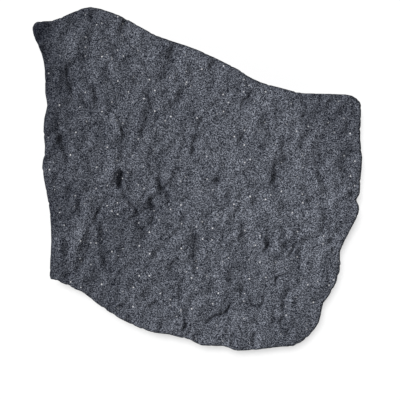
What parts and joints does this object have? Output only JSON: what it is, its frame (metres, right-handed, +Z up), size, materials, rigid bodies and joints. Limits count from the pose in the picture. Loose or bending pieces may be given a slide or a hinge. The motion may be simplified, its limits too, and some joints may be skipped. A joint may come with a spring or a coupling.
{
  "type": "aquarium cave ornament",
  "caption": "Low aquarium cave of stacked slate-look resin flagstones under a large lift-off roof slab, for fish and shrimp to hide in.",
  "frame": {"origin": "middle of the object's box, on the surface that its rubber feet stand on", "axes": "+Z up, the way the roof lifts off; -Y to the front, where the wide mouth is; +X to the right seen from the front"},
  "size_m": [0.2, 0.2084, 0.0667],
  "materials": {
    "slate_resin": "matte dark blue-grey cast resin with a cleft, gritty slate texture",
    "silicone": "grey aquarium silicone, satin",
    "rubber": "black moulded rubber, matte",
    "pin_acrylic": "dark acrylic rod, satin"
  },
  "bodies": {
    "base": {"base_slab": "slate_resin", "foot_front_left": "rubber", "foot_front_right": "rubber", "foot_rear_right": "rubber", "foot_rear_left": "rubber", "left_wall_course_1": "slate_resin", "left_wall_course_2": "slate_resin", "left_wall_course_3": "slate_resin", "left_wall_course_4": "slate_resin", "right_wall_course_1": "slate_resin", "right_wall_course_2": "slate_resin", "right_wall_course_3": "slate_resin", "right_wall_course_4": "slate_resin", "rear_wall_course_1": "slate_resin", "rear_wall_course_2": "slate_resin", "rear_wall_course_3": "slate_resin", "rear_wall_course_4": "slate_resin", "left_wall_bond_1": "silicone", "left_wall_bond_2": "silicone", "left_wall_bond_3": "silicone", "left_wall_bond_4": "silicone", "right_wall_bond_1": "silicone", "right_wall_bond_2": "silicone", "right_wall_bond_3": "silicone", "right_wall_bond_4": "silicone", "rear_wall_bond_1": "silicone", "rear_wall_bond_2": "silicone", "rear_wall_bond_3": "silicone", "rear_wall_bond_4": "silicone", "left_wall_pin": "pin_acrylic", "right_wall_pin": "pin_acrylic", "rear_wall_pin": "pin_acrylic"},
    "roof": {"roof_slab": "slate_resin"}
  },
  "joints": [
    {"name": "roof_lift", "type": "slide", "parent": "base", "child": "roof", "axis": [0, 0, 1], "range_m": [0, 0.06]}
  ]
}
